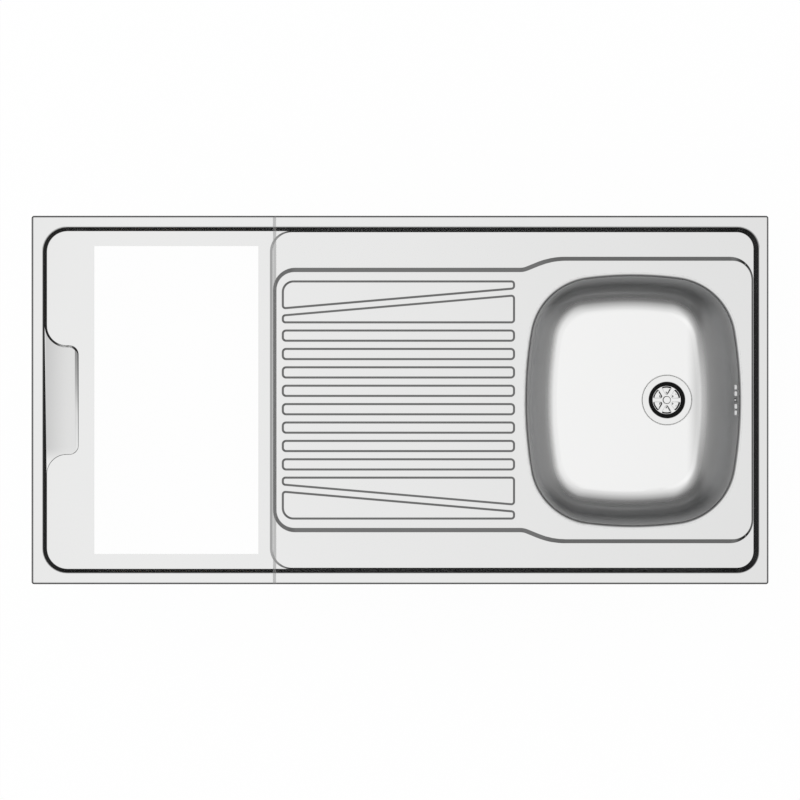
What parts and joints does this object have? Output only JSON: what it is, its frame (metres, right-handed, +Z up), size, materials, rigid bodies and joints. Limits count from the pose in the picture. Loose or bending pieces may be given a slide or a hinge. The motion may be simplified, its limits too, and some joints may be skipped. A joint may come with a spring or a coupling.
{
  "type": "kitchen sink with drainboard",
  "caption": "Lay-on stainless steel sink top with a rounded bowl, ribbed drainer, hob cut-out, overflow and a waste with a lift-out strainer.",
  "frame": {"origin": "centre of the plan, on the plane where the battens rest on the cabinets", "axes": "+X along the length towards the bowl, +Y towards the wall, +Z up"},
  "size_m": [1.2, 0.6, 0.233],
  "materials": {
    "sheet_steel": "satin brushed stainless sheet",
    "bowl_steel": "satin drawn stainless sheet",
    "polished_steel": "polished stainless",
    "zinc_steel": "bright zinc plate",
    "brass": "plain turned brass",
    "rubber": "matt black rubber",
    "white_plastic": "moulded, slightly glossy",
    "foam": "white closed-cell foam seal",
    "bitumen": "embossed sound-deadening sheet",
    "timber": "planed softwood"
  },
  "bodies": {
    "sink": {"sink_top": "sheet_steel", "bowl": "bowl_steel", "waste_flange": "polished_steel", "flange_gasket": "rubber", "body_gasket": "rubber", "waste_body": "white_plastic", "centre_screw": "polished_steel", "centre_nut": "brass", "overflow_gasket": "foam", "overflow_head": "white_plastic", "overflow_screw": "polished_steel", "overflow_pipe": "white_plastic", "pipe_nuts": "white_plastic", "pipe_seals": "rubber", "front_batten": "timber", "rear_batten": "timber", "left_batten": "timber", "right_batten": "timber", "centre_batten": "timber", "bowl_batten": "timber", "hob_batten": "timber", "drainer_pads": "bitumen", "bowl_pad": "bitumen", "fixing_strips": "zinc_steel", "strip_screws": "zinc_steel"},
    "basket": {"strainer_basket": "polished_steel", "strainer_knob": "polished_steel", "basket_seal": "rubber"}
  },
  "joints": [
    {"name": "basket_lift", "type": "slide", "parent": "sink", "child": "basket", "axis": [0, 0, 1], "range_m": [0, 0.2]}
  ]
}
